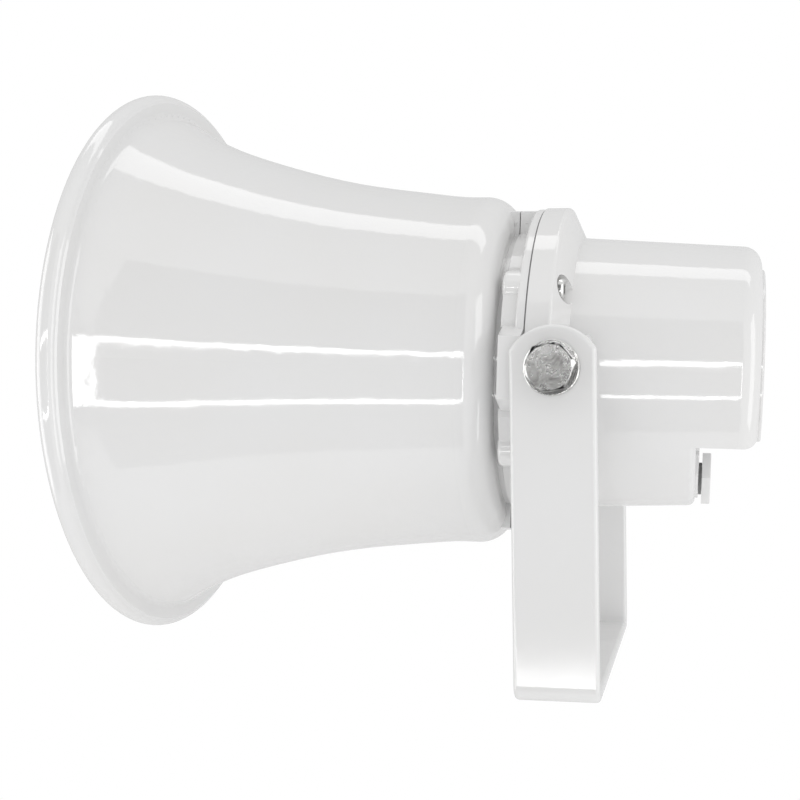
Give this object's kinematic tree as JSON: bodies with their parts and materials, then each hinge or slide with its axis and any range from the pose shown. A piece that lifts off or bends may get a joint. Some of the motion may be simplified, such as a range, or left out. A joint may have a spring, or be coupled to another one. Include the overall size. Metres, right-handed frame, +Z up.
{
  "type": "horn loudspeaker",
  "caption": "Round re-entrant horn loudspeaker with a flared mouth and rear driver housing, tilting on a bent steel U-bracket.",
  "frame": {"origin": "centre of the underside of the bracket's base, straight below the pivot axis", "axes": "+Z up from the base, X along the pivot axis, the mouth of the horn looks towards -Y"},
  "size_m": [0.1874, 0.2105, 0.1965],
  "materials": {
    "powder_coat": "white powder coat, satin",
    "white_plastic": "glossy white moulding",
    "inner_plastic": "white moulding, less glossy",
    "stainless": "tarnished stainless",
    "zinc_steel": "bright zinc plated",
    "pole_steel": "plain steel",
    "ferrite": "dark ferrite, matt",
    "brass": "turned brass",
    "grey_rubber": "grey rubber",
    "fibre": "pressed fibre",
    "phenolic": "phenolic film",
    "copper": "enamelled copper",
    "transformer_steel": "varnished laminations",
    "terminal_plastic": "natural moulding",
    "wire_cover": "insulated wire"
  },
  "bodies": {
    "bracket": {"u_bracket": "powder_coat"},
    "horn": {"horn_bell": "white_plastic", "bell_gasket": "grey_rubber", "bell_screws": "zinc_steel", "front_collar": "white_plastic", "tone_tube": "inner_plastic", "reflector_bullet": "inner_plastic", "bullet_screws": "stainless", "seam_gasket": "grey_rubber", "rear_housing": "white_plastic", "flange_screws": "stainless", "throat_gasket": "fibre", "throat_cap": "inner_plastic", "clamp_ring": "inner_plastic", "top_plate": "pole_steel", "magnet": "ferrite", "back_plate": "pole_steel", "driver_screws": "zinc_steel", "transformer_core": "transformer_steel", "transformer_winding": "copper", "transformer_frame": "zinc_steel", "frame_screws": "zinc_steel", "terminal_block": "terminal_plastic", "terminal_screws": "zinc_steel", "lead_wires": "wire_cover", "pivot_bolts": "stainless", "pivot_washers": "stainless", "friction_washers": "fibre", "lug_inserts": "brass"},
    "moving_coil": {"diaphragm": "phenolic", "voice_coil": "copper"},
    "inlet_seal": {"inlet_seal": "grey_rubber"},
    "inlet_plug": {"inlet_plug": "white_plastic"}
  },
  "joints": [
    {"name": "tilt", "type": "hinge", "parent": "bracket", "child": "horn", "pos_m": [0, 0, 0.0964], "axis": [-1, 0, 0], "range_deg": [-38, 130]},
    {"name": "diaphragm_travel", "type": "slide", "parent": "horn", "child": "moving_coil", "axis": [0, 0.999, -0.0454], "range_m": [-0.0003, 0.0003], "stiffness_N_per_m": 1500},
    {"name": "plug_travel", "type": "slide", "parent": "horn", "child": "inlet_seal", "axis": [0, 0.999, -0.0454], "range_m": [0, 0.005]},
    {"name": "plug_turn", "type": "hinge", "parent": "inlet_seal", "child": "inlet_plug", "pos_m": [0, 0.04144, 0.06108], "axis": [0, 0.999, -0.0454], "range_deg": [0, 1440]}
  ],
  "couplings": [
    {"joint": "plug_turn", "follows": "plug_travel", "rad_per_m": 5026.5}
  ]
}
